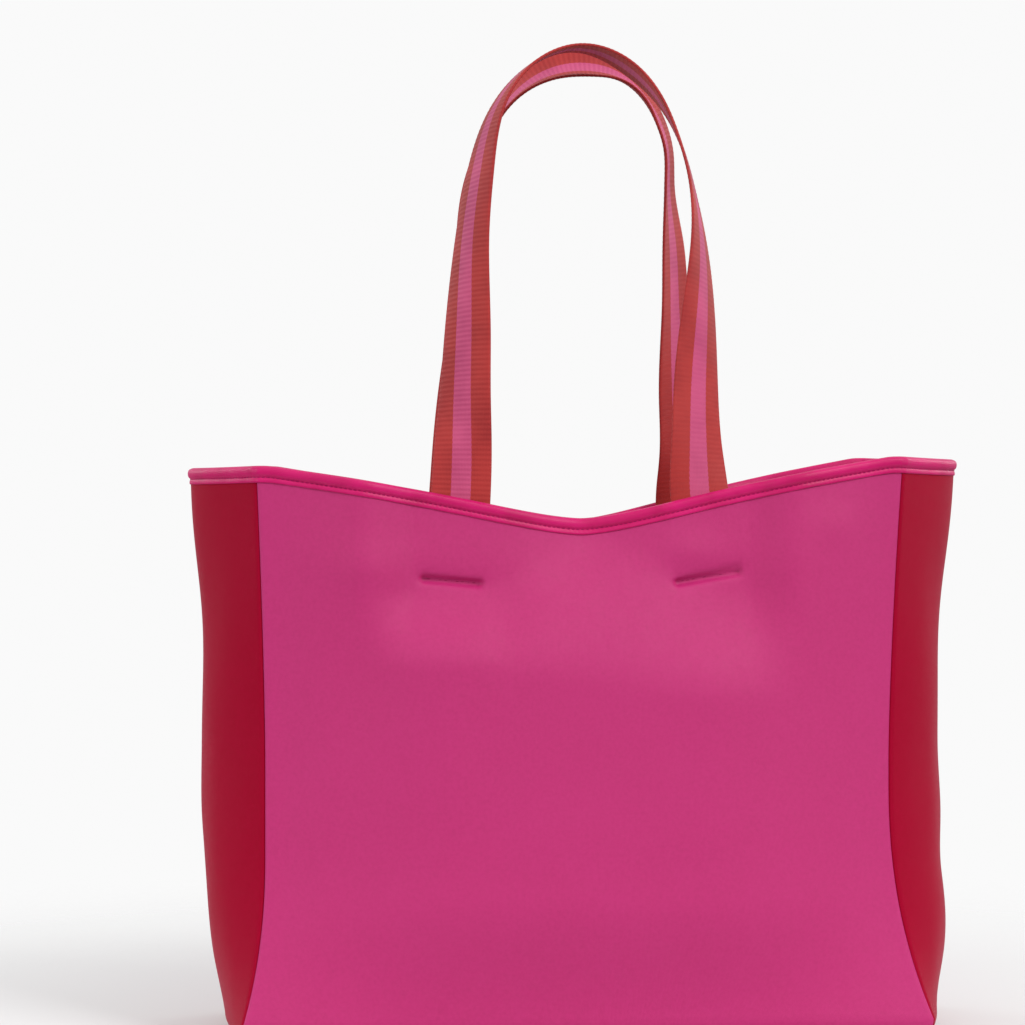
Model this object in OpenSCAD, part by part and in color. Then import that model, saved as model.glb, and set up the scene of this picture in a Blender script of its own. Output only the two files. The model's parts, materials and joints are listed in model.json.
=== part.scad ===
// Open-topped neoprene beach tote with splayed side gussets and two webbing handles.
// +X is to the bag's own right seen from the front, -Y is the front, +Z is up.
// The origin is the middle of the base, on the floor.

/* [Body] */
// Height of the rim at the four corners
body_h = 369; // [340:1:400]
// How far the rim dips at the middle of the front and the back
rim_dip = 35; // [10:1:45]
// Distance from the middle at which the dip has run out
dip_reach = 190; // [150:5:195]
// Width of the front and back panels at the rim
panel_top_w = 407; // [400:1:420]
// Width of the front and back panels where they are narrowest
panel_waist_w = 395; // [385:1:400]
// Width of the front and back panels at the floor
panel_base_w = 443; // [425:1:450]
// Depth between the side seams at the rim
depth_top = 146; // [140:1:152]
// Depth between the side seams where the body is narrowest
depth_waist = 140; // [136:1:146]
// Depth between the side seams at the floor
depth_base = 168; // [158:1:176]
// Height of the narrowest place
waist_z = 180; // [160:5:200]
// Height at which the walls start to flare towards the floor
flare_h = 125; // [100:5:140]
// How far the middle of the front and back panels stands out
panel_bulge = 9; // [2:0.5:10]
// Radius of the bottom edge
hem_r = 12; // [10:1:14]
// Thickness of the neoprene
wall_t = 3.5; // [3:0.1:4]

/* [Side gussets] */
// How far the fold stands out beyond the seams at the rim
gusset_out_top = 47.5; // [40:0.5:50]
// How far it stands out at the narrowest place
gusset_out_waist = 44.5; // [38:0.5:48]
// How far it stands out at the floor
gusset_out_base = 8; // [5:0.5:14]
// Height over which the fold swells out from the floor
gusset_swell_h = 115; // [100:5:140]
// Roundness of the fold at the rim, small is sharp
fold_softness = 0.3; // [0.2:0.05:0.5]

/* [Rim binding] */
// Height of the tape on each face of the wall
binding_h = 10; // [10:0.5:13]
// Thickness of the tape
binding_t = 1.2; // [1:0.1:1.3]

/* [Handles] */
// Width of the webbing
strap_w = 38; // [32:1:38]
// Thickness of the webbing
strap_t = 2; // [1.5:0.1:2]
// Height of the middle of the webbing at the top of the loop
loop_top_z = 643; // [600:1:660]
// Distance from the bag's middle to each leg at the rim
leg_x = 75; // [70:1:78]
// Half width of the arch where it meets the legs
arch_x = 69; // [64:1:70]
// Height at which the legs turn into the arch
spring_z = 515; // [500:1:525]
// Squareness of the arch, 2 is an ellipse
arch_power = 2.2; // [2:0.05:2.4]
// Distance of the top of each loop from the bag's middle plane
loop_top_y = 20.3; // [20:0.1:24]
// How soon each leg turns edge-on on its way up
twist_power = 1.6; // [1.4:0.05:1.8]

/* [Handle ends] */
// Height of the line of stitches through each end
stitch_z = 294; // [288:1:300]
// Distance from the bag's middle to the middle of each line of stitches
stitch_x = 80.5; // [76:0.5:82]
// Length of a line of stitches
stitch_len = 40; // [36:1:42]
// Thickness of the thread
thread_d = 1.4; // [1.2:0.1:1.6]
// Webbing below the stitches
end_tail = 11; // [8:1:14]

/* [Base and seams] */
// Thickness of the stiff board on the bottom
board_t = 2.5; // [2:0.5:3]
// Radius of the board's corners
board_r = 18; // [12:1:24]
// Thickness of the tapes over the inner seams
tape_t = 2.6; // [2.2:0.1:2.6]
// How far the tapes stand off the seams
tape_w = 8; // [6:0.5:8]

/* [Hidden] */

// Stations round the body: the front panel from left to right, then the right gusset.
// The back panel and the left gusset are the same stations turned by half a turn.
panel_steps = 24;
gusset_steps = 12;
half_turn = panel_steps + gusset_steps;
stations = 2 * half_turn;
wall_rows = 10;
hem_steps = 3;
leg_steps = 9;
arch_steps = 12;

// Clearances
seam_gap = 0.3;
fold_gap = 0.8;
face_gap = 0.1;
strap_gap = 0.5;
rim_gap = 4.6;

// Insets from the outer face of the wall
binding_inside = wall_t + face_gap + binding_t;
strap_below_binding = wall_t + 2 * face_gap + strap_t / 2;
strap_behind_binding = binding_inside + strap_gap + strap_t / 2;
base_inset = hem_r + seam_gap;
base_tape_inset = base_inset + 1;
board_inset = base_tape_inset + tape_t + 1.5;

// The bottom edge is rounded below this height, and the walls stand a seam gap off the floor.
hem_top = seam_gap + hem_r;
board_w = 2 * (half_w(hem_top) - board_inset);
board_d = 2 * (half_d(hem_top) - board_inset);

// The loops fold about a line along X just above the binding under their legs.
fold_z = rim_z(leg_x + strap_w / 2) + rim_gap;

// ---- Shape of the body ----

function above_waist(z) = pow(max(0, (z - waist_z) / (body_h - waist_z)), 1.5);

function flare(z) = pow(max(0, 1 - z / flare_h), 1.5);

// A measure that has one value at the waist, one at the rim and one at the floor
function profile(z, top, waist, base) =
    waist + (top - waist) * above_waist(z) + (base - waist) * flare(z);

function half_w(z) = profile(z, panel_top_w, panel_waist_w, panel_base_w) / 2;

function half_d(z) = profile(z, depth_top, depth_waist, depth_base) / 2;

function rim_z(x) = body_h - rim_dip * (1 + cos(180 * min(1, abs(x) / dip_reach))) / 2;

function bulge(x, z) =
    panel_bulge * sin(180 * min(1, z / rim_z(x))) * cos(90 * min(1, abs(x) / half_w(z)));

// Outer face of the front panel
function panel_y(x, z) = -half_d(z) - bulge(x, z);

function gusset_out(z) =
    z < gusset_swell_h
        ? gusset_out_base + (gusset_out_waist - gusset_out_base) * sin(90 * z / gusset_swell_h)
        : gusset_out_waist + (gusset_out_top - gusset_out_waist) * above_waist(z);

// Plan of a gusset: s runs from -1 at one seam to 1 at the other.
function round_plan(s) = 1 - s * s;

function folded_plan(s) =
    let (e = fold_softness)
    (sqrt(1 + e * e) - sqrt(s * s + e * e)) / (sqrt(1 + e * e) - e);

function gusset_plan(s, z) =
    let (k = above_waist(z))
    k * folded_plan(s) + (1 - k) * round_plan(s);

// Outer outline at station i and height z
function outline(i, z) =
    let (j = (i + stations) % stations)
    j >= half_turn ? -outline(j - half_turn, z)
    : j < panel_steps ? let (x = half_w(z) * (2 * j / panel_steps - 1)) [x, panel_y(x, z)]
    : let (s = 2 * (j - panel_steps) / gusset_steps - 1)
      [half_w(z) + gusset_out(z) * gusset_plan(s, z), half_d(z) * s];

// Height of the rim at station i
function rim_at(i) = rim_z(outline(i, body_h).x);

function unit(v) = v / norm(v);

function left_of(v) = [-v.y, v.x];

// Direction from station i into the bag, midway between the walls on its two sides
function inward(i, z) =
    unit(left_of(unit(outline(i, z) - outline(i - 1, z)) + unit(outline(i + 1, z) - outline(i, z))));

// Point of the wall at station i, at an inset from its outer face
function wall_xy(i, z, inset) =
    let (
        here = outline(i, z),
        into = inward(i, z),
        square = left_of(unit(here - outline(i - 1, z)))
    )
    here + into * inset / (into * square);

// The rounded bottom edge keeps the plan that the wall has at its top.
function wall_point(i, z, inset) = let (p = wall_xy(i, max(z, hem_top), inset)) [p.x, p.y, z];

// One column of the wall from the bottom edge up, on the face at an inset
function wall_column(i, inset) =
    let (top = rim_at(i) - binding_t - face_gap)
    concat(
        [for (k = [0:hem_steps - 1])
            let (a = 90 * k / hem_steps, r = hem_r - inset)
            wall_point(i, hem_top - r * cos(a), hem_r - r * sin(a))],
        [for (k = [0:wall_rows])
            wall_point(i, hem_top + (top - hem_top) * k / wall_rows, inset)]
    );

// ---- Solids from rows of points ----

function quad(a, b, c, d) = [[a, b, c], [a, c, d]];

function joined(lists) = [for (list = lists) each list];

// Closed sheet between two faces, each a list of columns from left to right seen from outside
module sheet(outer, inner) {
    columns = len(outer);
    rows = len(outer[0]);
    side = columns * rows;
    last = rows - 1;
    function at(c, r) = c * rows + r;
    faces = joined([
        for (c = [0:columns - 2], r = [0:rows - 2])
            quad(at(c, r), at(c, r + 1), at(c + 1, r + 1), at(c + 1, r)),
        for (c = [0:columns - 2], r = [0:rows - 2])
            quad(side + at(c, r), side + at(c + 1, r), side + at(c + 1, r + 1), side + at(c, r + 1)),
        for (c = [0:columns - 2])
            quad(at(c, 0), at(c + 1, 0), side + at(c + 1, 0), side + at(c, 0)),
        for (c = [0:columns - 2])
            quad(at(c, last), side + at(c, last), side + at(c + 1, last), at(c + 1, last)),
        for (r = [0:last - 1])
            quad(at(0, r), side + at(0, r), side + at(0, r + 1), at(0, r + 1)),
        for (r = [0:last - 1])
            let (c = columns - 1)
            quad(at(c, r), at(c, r + 1), side + at(c, r + 1), side + at(c, r))
    ]);
    polyhedron(points = concat(joined(outer), joined(inner)), faces = faces, convexity = 4);
}

// Bar through a list of rings, each a list of points that runs anticlockwise seen along the bar
module sweep(rings, closed = false) {
    n = len(rings);
    m = len(rings[0]);
    function at(i, j) = (i % n) * m + j % m;
    walls = [
        for (i = [0:(closed ? n - 1 : n - 2)], j = [0:m - 1])
            quad(at(i, j), at(i, j + 1), at(i + 1, j + 1), at(i + 1, j))
    ];
    caps = closed ? [] : [[for (j = [m - 1:-1:0]) at(0, j)], [for (j = [0:m - 1]) at(n - 1, j)]];
    polyhedron(points = joined(rings), faces = concat(joined(walls), caps), convexity = 8);
}

// ---- Body ----

module wall(first, last) {
    sheet(
        [for (i = [first:last]) wall_column(i, 0)],
        [for (i = [first:last]) wall_column(i, wall_t)]
    );
}

module front_panel() {
    color("#C23778") wall(0, panel_steps);
}

module back_panel() {
    color("#C23778") wall(half_turn, half_turn + panel_steps);
}

module right_gusset() {
    color("#A10C2E") wall(panel_steps, half_turn);
}

module left_gusset() {
    color("#A10C2E") wall(half_turn + panel_steps, stations);
}

// Outline of the bottom at an inset from the outer face of the walls
module base_outline(inset) {
    polygon([for (i = [0:stations - 1]) wall_xy(i, hem_top, inset)]);
}

module base_panel() {
    color("#B02F6C") linear_extrude(wall_t) base_outline(base_inset);
}

module base_board() {
    color("#3A3338")
        translate([0, 0, wall_t + seam_gap])
            linear_extrude(board_t) {
                square([board_w, board_d - 2 * board_r], center = true);
                square([board_w - 2 * board_r, board_d], center = true);
                for (x = [-1, 1], y = [-1, 1])
                    translate([x * (board_w / 2 - board_r), y * (board_d / 2 - board_r)])
                        circle(board_r, $fn = 48);
            }
}

// The tape stands on the bottom, just inside its seam.
module base_seam_tape() {
    color("#8E1B52")
        translate([0, 0, wall_t + face_gap])
            linear_extrude(tape_w)
                difference() {
                    base_outline(base_tape_inset);
                    base_outline(base_tape_inset + tape_t);
                }
}

// Tape over the upright seam at station i, which stands off the corner into the bag
module seam_tape(i) {
    low = wall_t + tape_w + 2;
    high = body_h - binding_h - seam_gap;
    near = wall_t + 1.1;
    rows = 12;
    color("#8E1B52")
        sweep([
            for (k = [0:rows])
                let (
                    z = low + (high - low) * k / rows,
                    root = wall_xy(i, z, near),
                    into = inward(i, z),
                    tip = root + into * tape_w,
                    side = left_of(into) * tape_t / 2
                )
                [for (p = [root - side, root + side, tip + side, tip - side]) [p.x, p.y, z]]
        ]);
}

module seam_tape_front_left() {
    seam_tape(0);
}

module seam_tape_front_right() {
    seam_tape(panel_steps);
}

module seam_tape_back_right() {
    seam_tape(half_turn);
}

module seam_tape_back_left() {
    seam_tape(half_turn + panel_steps);
}

// The tape's section: [inset from the wall's outer face, height from the rim]
binding_section =
    let (
        outside = -face_gap - binding_t,
        middle = wall_t / 2,
        r = middle - outside,
        crown = 1.5
    )
    concat(
        [[outside, -binding_h], [-face_gap, -binding_h], [-face_gap, -binding_t]],
        [[wall_t + face_gap, -binding_t], [wall_t + face_gap, -binding_h], [binding_inside, -binding_h]],
        [for (a = [0:45:180]) [middle + r * cos(a), crown * (sin(a) - 1)]]
    );

module rim_binding() {
    color("#C32D72")
        sweep(
            [for (i = [0:stations - 1]) [for (p = binding_section) wall_point(i, rim_at(i) + p.y, p.x)]],
            closed = true
        );
}

// ---- Handles ----

// Height on the way from the fold line to the top of the loop, from 0 to 1
function climb(z) = (z - fold_z) / (loop_top_z - fold_z);

function loop_y(z) =
    let (start = -half_d(fold_z) + strap_behind_binding)
    start + (-loop_top_y - start) * climb(z);

function loop_point(x, z) = [x, loop_y(z), z];

// Middle line of the right half of a loop, from the fold line to just below the top
half_loop = concat(
    [for (k = [0:leg_steps - 1])
        let (s = k / leg_steps)
        loop_point(leg_x + (arch_x - leg_x) * s, fold_z + (spring_z - fold_z) * s)],
    [for (k = [0:arch_steps - 1])
        let (a = 90 * k / arch_steps)
        loop_point(
            arch_x * pow(cos(a), 2 / arch_power),
            spring_z + (loop_top_z - spring_z) * pow(sin(a), 2 / arch_power)
        )]
);

loop_line = concat(
    [for (p = half_loop) [-p.x, p.y, p.z]],
    [loop_point(0, loop_top_z)],
    [for (k = [len(half_loop) - 1:-1:0]) half_loop[k]]
);

function loop_direction(k) =
    k == 0 ? [0, 0, 1]
    : k == len(loop_line) - 1 ? [0, 0, -1]
    : unit(loop_line[k + 1] - loop_line[k - 1]);

// Section of the webbing across a point of its middle line
function strap_ring(p, across, face) =
    let (w = across * strap_w / 2, t = face * strap_t / 2)
    [p - w - t, p + w - t, p + w + t, p - w + t];

// The webbing faces forward at the fold line and outward over the top of the loop.
function loop_ring(k) =
    let (
        p = loop_line[k],
        along = loop_direction(k),
        turn = 90 * (1 - pow(1 - min(1, max(0, climb(p.z))), twist_power)),
        outward = [-along.z, 0, along.x],
        aim = outward * sin(turn) - [0, cos(turn), 0],
        across = unit(cross(aim, along)),
        face = cross(along, across)
    )
    strap_ring(p, across, face);

module front_handle() {
    color("#B23A3A") sweep([for (k = [0:len(loop_line) - 1]) loop_ring(k)]);
}

// Inset of the webbing's middle: it lies on the panel, and steps in behind the binding.
function end_inset(z) =
    let (
        top = rim_z(leg_x - strap_w / 2) - binding_h - 4,
        s = min(1, max(0, (z - top + binding_h) / binding_h))
    )
    strap_below_binding + (strap_behind_binding - strap_below_binding) * s * s * (3 - 2 * s);

function end_x(z) = stitch_x + (leg_x - stitch_x) * (z - stitch_z) / (fold_z - stitch_z);

// The webbing stays flat across its width, so it clears the panel at its outer edge.
function end_point(z) =
    let (x = end_x(z))
    [x, panel_y(x + strap_w / 2, z) + end_inset(z), z];

module right_end() {
    low = stitch_z - end_tail;
    high = fold_z - fold_gap;
    rows = 9;
    color("#B23A3A")
        sweep([
            for (k = [0:rows])
                strap_ring(end_point(low + (high - low) * k / rows), [1, 0, 0], [0, -1, 0])
        ]);
}

module front_handle_right_end() {
    right_end();
}

module front_handle_left_end() {
    mirror([1, 0, 0]) right_end();
}

// Thread that follows the panel between two points a line of stitches apart
module thread(offset_y) {
    ends = [for (x = [-1, 1] * stitch_len / 2) [stitch_x + x, panel_y(stitch_x + x, stitch_z)]];
    run = ends[1] - ends[0];
    translate([ends[0].x, ends[0].y + offset_y, stitch_z])
        rotate([0, 90, atan2(run.y, run.x)])
            cylinder(d = thread_d, h = norm(run), $fn = 24);
}

// One run of thread lies on the panel and one on the webbing inside.
module right_stitch() {
    outside = -thread_d / 2 - 2 * face_gap;
    inside = end_inset(stitch_z) + strap_t / 2 + thread_d / 2 + 1;
    color("#8C1C55") {
        thread(outside);
        thread(inside);
    }
}

module front_right_stitch() {
    right_stitch();
}

module front_left_stitch() {
    mirror([1, 0, 0]) right_stitch();
}

module back_handle() {
    mirror([0, 1, 0]) front_handle();
}

module back_handle_right_end() {
    mirror([0, 1, 0]) front_handle_right_end();
}

module back_handle_left_end() {
    mirror([0, 1, 0]) front_handle_left_end();
}

module back_right_stitch() {
    mirror([0, 1, 0]) front_right_stitch();
}

module back_left_stitch() {
    mirror([0, 1, 0]) front_left_stitch();
}

front_panel();
back_panel();
left_gusset();
right_gusset();
base_panel();
base_board();
base_seam_tape();
seam_tape_front_left();
seam_tape_front_right();
seam_tape_back_left();
seam_tape_back_right();
rim_binding();
front_handle();
front_handle_left_end();
front_handle_right_end();
front_left_stitch();
front_right_stitch();
back_handle();
back_handle_left_end();
back_handle_right_end();
back_left_stitch();
back_right_stitch();
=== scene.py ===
import json
import math

import bpy
import numpy as np
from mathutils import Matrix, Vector


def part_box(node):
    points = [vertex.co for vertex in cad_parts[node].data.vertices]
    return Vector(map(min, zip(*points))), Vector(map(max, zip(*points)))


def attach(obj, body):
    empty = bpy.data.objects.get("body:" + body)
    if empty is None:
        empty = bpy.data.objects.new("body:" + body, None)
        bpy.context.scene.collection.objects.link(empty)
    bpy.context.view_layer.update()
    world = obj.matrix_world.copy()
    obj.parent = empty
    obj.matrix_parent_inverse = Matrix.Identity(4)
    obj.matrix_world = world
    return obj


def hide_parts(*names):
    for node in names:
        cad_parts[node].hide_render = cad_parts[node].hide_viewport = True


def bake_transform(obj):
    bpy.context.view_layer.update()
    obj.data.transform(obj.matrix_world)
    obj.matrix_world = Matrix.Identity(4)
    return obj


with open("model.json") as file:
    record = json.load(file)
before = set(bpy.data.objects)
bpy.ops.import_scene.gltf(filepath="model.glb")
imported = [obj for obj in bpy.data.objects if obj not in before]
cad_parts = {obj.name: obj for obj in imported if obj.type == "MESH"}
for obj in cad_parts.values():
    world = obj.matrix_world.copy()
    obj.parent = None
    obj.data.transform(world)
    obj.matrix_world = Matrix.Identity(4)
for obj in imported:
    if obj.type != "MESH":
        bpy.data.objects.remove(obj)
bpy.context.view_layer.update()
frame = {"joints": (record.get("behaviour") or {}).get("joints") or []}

MM = 0.001


def mm(*values):
    """Measures in millimetres, as metres."""
    return tuple(value * MM for value in values)


# ---- Measures, in metres ----

RIM_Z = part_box("rim_binding")[1].z  # the rim at its corners
STITCH_LOW, STITCH_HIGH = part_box("front_right_stitch")
STITCH_Z = (STITCH_LOW.z + STITCH_HIGH.z) / 2
STITCH_X = (STITCH_LOW.x + STITCH_HIGH.x) / 2
STITCH_LENGTH = STITCH_HIGH.x - STITCH_LOW.x
FOLD_Z = frame["joints"][0]["pos_m"][2]
LOOP_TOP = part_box("front_handle")[1].z
STRAP_W = 38 * MM
STRAP_T = 1.9 * MM
WALL_T = 3.5 * MM
BINDING_H = 10 * MM
HEM_R = 14 * MM
HEM_TOP = HEM_R + 0.3 * MM
WAIST_Z = 180 * MM
PANEL_HALF = 200 * MM
GUSSET_W = 174 * MM
RIM_HALF = 198 * MM  # half the width in which the rim rises to its corners

# Half the bag's depth at the waist, the rim and the floor, and the height of its flare
DEPTHS = mm(70, 74, 80)
DEPTH_FLARE_H = 125 * MM
# Each side stands a little differently. The seam's distance from the middle, and the fold's beyond the seam,
# are given at the waist, the rim and the floor.
SIDES = {
    "left": {"seam": mm(201, 206.6, 219), "flare_h": 120 * MM,
             "fold": mm(41.5, 44.5, 8), "fold_h": 118 * MM, "swell": 2 * MM},
    "right": {"seam": mm(198, 206.2, 232), "flare_h": 165 * MM,
              "fold": mm(42.2, 46.5, 3), "fold_h": 100 * MM, "swell": 4 * MM},
}
FOLD_SWELL_Z, FOLD_SWELL_REACH = mm(140, 32)
# Heights of the rim at the left corner, in the middle and at the right corner
RIMS = {"front": mm(366.4, 333.5, 373.2), "back": mm(370.3, 333.4, 376.8)}
GUSSET_SAG = 1.5 * MM  # how far the rim sags between a gusset's corners


def ease(t):
    t = np.clip(t, 0, 1)
    return t * t * (3 - 2 * t)


def mix(a, b, t):
    return a + (b - a) * t


def unit(v):
    return v / np.maximum(np.linalg.norm(v, axis=-1, keepdims=True), 1e-12)


def stack(*columns):
    """Coordinates side by side, each an array or one number for all."""
    return np.stack(np.broadcast_arrays(*columns), -1)


def distances(points, closed=False):
    """Distance of each point of a line from its first, and of the first again if the line is closed."""
    if closed:
        points = np.concatenate([points, points[:1]])
    return np.concatenate([[0], np.cumsum(np.linalg.norm(np.diff(points, axis=0), axis=-1))])


def along_line(wanted, distance, points):
    """Points at the wanted distances along a line of points."""
    return np.stack([np.interp(wanted, distance, column) for column in points.T], -1)


def rounded_rise(t, softness):
    """Rises from 0 to 1 with t, almost straight from a rounded start."""
    return (np.hypot(t, softness) - softness) / (math.hypot(1, softness) - softness)


def graded(low, high, coarse, marks):
    """Places from low to high, coarse apart, and closer within reach of each (place, reach, fine) mark."""
    s = np.linspace(low, high, 6001)
    step = np.full_like(s, coarse)
    for place, reach, fine in marks:
        step = np.minimum(step, mix(fine, coarse, ease(np.abs(s - place) / reach)))
    count = np.concatenate([[0], np.cumsum((s[1] - s[0]) / step[1:])])
    return np.interp(np.linspace(0, count[-1], int(round(count[-1])) + 1), count, s)


# ---- Shape of the shell ----


def above_waist(z):
    return np.clip((z - WAIST_Z) / (RIM_Z - WAIST_Z), 0, None) ** 1.5


def profile(z, measures, flare_h):
    """A measure at height z, given at the waist, the rim and the floor."""
    waist, rim, floor = measures
    flare = np.clip(1 - z / flare_h, 0, 1) ** 2.2
    return waist + (rim - waist) * above_waist(z) + (floor - waist) * flare


def seam_x(z, side):
    return profile(z, SIDES[side]["seam"], SIDES[side]["flare_h"])


def half_depth(z):
    return profile(z, DEPTHS, DEPTH_FLARE_H)


def fold_out(z, side):
    """How far the fold of a gusset stands out beyond the seams."""
    waist, rim, floor = SIDES[side]["fold"]
    rise = np.sin(np.pi / 2 * np.clip(z / SIDES[side]["fold_h"], 0, 1))
    bulge = SIDES[side]["swell"] * np.exp(-((z - FOLD_SWELL_Z) / FOLD_SWELL_REACH) ** 2)
    return floor + (waist - floor) * rise + (rim - waist) * above_waist(z) + bulge


def gusset_plan(s, z):
    """A gusset's plan from 0 at its seams to 1 at its fold: round low down, and folded at the rim."""
    return mix(1 - s * s, 1 - rounded_rise(s, 0.3), np.clip(above_waist(z), 0, 1))


def rim_height(x, face):
    """The rim rises almost straight from a rounded low point to its corners."""
    left, middle, right = RIMS[face]
    t = np.clip(np.abs(x) / RIM_HALF, 0, 1)
    rise = rounded_rise(t, 0.2) + 0.1 * np.sin(np.pi * t)
    return middle + np.where(x < 0, left - middle, right - middle) * rise


# ---- The ring: all four walls as one sheet, in columns round the body and rows up it ----

SIGNS = (-1, 1)
SEAM_MARK = mm(9, 0.6)  # how far from a seam the columns are closer, and how close
STITCH_MARKS = [(side * STITCH_X + end * STITCH_LENGTH / 2, *mm(10, 1.1)) for side in SIGNS for end in SIGNS]
PANEL_MARKS = [(side * PANEL_HALF, *SEAM_MARK) for side in SIGNS] + STITCH_MARKS
PANEL_A = graded(-PANEL_HALF, PANEL_HALF, 3.6 * MM, PANEL_MARKS) / PANEL_HALF
GUSSET_MARKS = [(side * GUSSET_W / 2, *SEAM_MARK) for side in SIGNS] + [(0, *mm(20, 1.6))]
GUSSET_S = graded(-GUSSET_W / 2, GUSSET_W / 2, 3.2 * MM, GUSSET_MARKS) / (GUSSET_W / 2)
HEM_ROWS = 13
HEM_START = 0.12  # share of the hem's quarter turn that belongs to the base
LEVEL_TOP = STITCH_Z + 14 * MM
LEVELS = graded(HEM_TOP, LEVEL_TOP, 4 * MM, [(STITCH_Z, 12 * MM, 0.8 * MM)])
UPPER_ROWS = 14
RAW_EDGE = 1 * MM  # how far the wall's raw edge lies below the rim

# Each column's face, its place across that face, and the first column of each face
ACROSS = {"front": PANEL_A, "right": GUSSET_S, "back": -PANEL_A, "left": -GUSSET_S}
FACES = np.repeat(list(ACROSS), [len(across) - 1 for across in ACROSS.values()])
PLACES = np.concatenate([across[:-1] for across in ACROSS.values()])
FIRST = {face: int(np.argmax(FACES == face)) for face in ACROSS}
COLUMNS = len(FACES)


def corner_trim(z, side):
    """Tangent of half the ring's turn at a corner: how much an inset shortens each side of it."""
    return np.tan(np.arctan2(half_depth(z), 2 * fold_out(z, side)) / 2)


def outline(z, inset=0.0):
    """Plan of the ring at heights z, an array of rows by columns, moved in by an inset near the floor."""
    a = np.broadcast_to(PLACES, z.shape)
    depth = half_depth(z)
    x = np.zeros(z.shape)
    y = np.where(FACES == "front", -1, 1) * (depth - inset)
    for side, sign in (("left", -1), ("right", 1)):
        half, fold, trim = seam_x(z, side), fold_out(z, side), corner_trim(z, side)
        on_panel = np.isin(FACES, ("front", "back")) & (a * sign >= 0)
        x = np.where(on_panel, a * (half - inset * trim), x)
        s = a * (1 - inset * trim / np.hypot(2 * fold, depth))
        slope = -2 * s * fold * sign
        out = stack(sign * depth, -sign * slope) / np.hypot(slope, depth)[..., None]
        on_side = FACES == side
        x = np.where(on_side, sign * (half + fold * gusset_plan(s, z)) - inset * out[..., 0], x)
        y = np.where(on_side, s * depth - inset * out[..., 1], y)
    return stack(x, y)


def column_tops():
    """Height of the rim at each column. On a gusset it runs between the corners."""
    x = PLACES * np.where(PLACES < 0, SIDES["left"]["seam"][1], SIDES["right"]["seam"][1])
    top = np.where(FACES == "front", rim_height(x, "front"), rim_height(x, "back"))
    for face, side in (("right", 2), ("left", 0)):
        on = FACES == face
        ends = RIMS["front"][side], RIMS["back"][side]
        top[on] = mix(*ends, (PLACES[on] + 1) / 2) - GUSSET_SAG * (1 - PLACES[on] ** 2)
    return top


TOPS = column_tops()


def bare_ring():
    """Points of the shell before it is sculpted: rows by columns by 3."""
    angle = mix(HEM_START, 1, np.linspace(0, 1, HEM_ROWS)[:-1, None] ** 1.5) * np.pi / 2
    hem_z = HEM_TOP - HEM_R * np.cos(angle) * np.ones(COLUMNS)
    level_z = LEVELS[:, None] * np.ones(COLUMNS)
    t = np.linspace(0, 1, UPPER_ROWS + 1)[1:, None]
    upper_z = mix(LEVEL_TOP, TOPS - RAW_EDGE, t)
    z = np.concatenate([hem_z, level_z, upper_z])
    inset = np.concatenate([HEM_R * (1 - np.sin(angle)) * np.ones(COLUMNS), 0 * level_z, 0 * upper_z])
    return np.concatenate([outline(np.maximum(z, HEM_TOP), inset), z[..., None]], -1)


def ring_normals(ring):
    """Outward unit normals of the ring, which closes on itself across its columns."""
    across = np.roll(ring, -1, 1) - np.roll(ring, 1, 1)
    up = np.gradient(ring, axis=0)
    return unit(np.cross(across, up))


def seam_distance(ring):
    """Distance of every point from the nearest upright seam, measured round the body."""
    along = np.array([distances(row, closed=True) for row in ring])
    total = along[:, -1:]
    near = np.full(ring.shape[:2], np.inf)
    for face in FIRST:
        gap = np.abs(along[:, :-1] - along[:, FIRST[face]][:, None])
        near = np.minimum(near, np.minimum(gap, total - gap))
    return near


# ---- Sculpting: bulges, pinched stitch lines and rolled seams ----

# Stitch lines that hold the webbing: both ends of each, as (x, z), on each panel
STITCH_LINES = {
    "front": [(mm(-100.5, 296), mm(-65.5, 293)), (mm(61, 293.8), mm(99, 300.4))],
    "back": [(mm(-100.5, 295), mm(-60.5, 293)), (mm(60.5, 293.5), mm(100.5, 295))],
}
# A panel swells out, and its straps draw it in again below the rim: how far it swells, the heights where that
# begins to fade on the left and on the right, the height where it is gone, and how much higher that lies
# between the stitch lines
DRAWN_IN = {"front": mm(18, 240, 218, 290, 36), "back": mm(10, 230, 232, 290, 40)}
DRAWN_HALF = 146 * MM  # half the width that the straps draw in
DRAWN_EDGE = 40 * MM  # how far in from there they draw it in fully
BETWEEN_X, BETWEEN_REACH = mm(12, 52)  # middle and reach of the higher stretch between the stitch lines
SWELL_SIDE, SWELL_FOOT = mm(125, 95)  # how far from the panel's sides and above the floor the swell is whole
# Soft hollows and swells: x, z, height, reach across, reach up
SWELLS = {
    "front": [
        mm(3, 352, -12, 38, 58), mm(-80, 348, -1.5, 30, 36), mm(80, 348, -1.5, 30, 36),
        mm(-133, 303, 1.6, 20, 15), mm(70, 314, 1.4, 18, 11), mm(160, 330, 1.2, 13, 12),
        mm(-48, 262, -1.6, 13, 26), mm(-140, 236, -1.2, 24, 34), mm(120, 120, 1.2, 55, 60),
        mm(-110, 100, -1.2, 50, 60),
    ],
    "back": [
        mm(0, 350, -8, 38, 58), mm(-80, 348, -1.5, 30, 36), mm(80, 348, -1.5, 30, 36),
        mm(125, 310, 1.6, 24, 16), mm(-70, 316, 1.2, 18, 12), mm(130, 150, 1.2, 50, 60),
        mm(-120, 110, -1.2, 50, 50),
    ],
}
SHOULDER, SHOULDER_REACH = mm(3, 42)  # how far a panel stands out beside its seams, and where that is whole
PANEL_BULGE = 4.2 * MM
SEAM_ROLL, SEAM_DEPTH = mm(3.2, 2.2)
CREASE_DEPTH = 3.4 * MM
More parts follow.
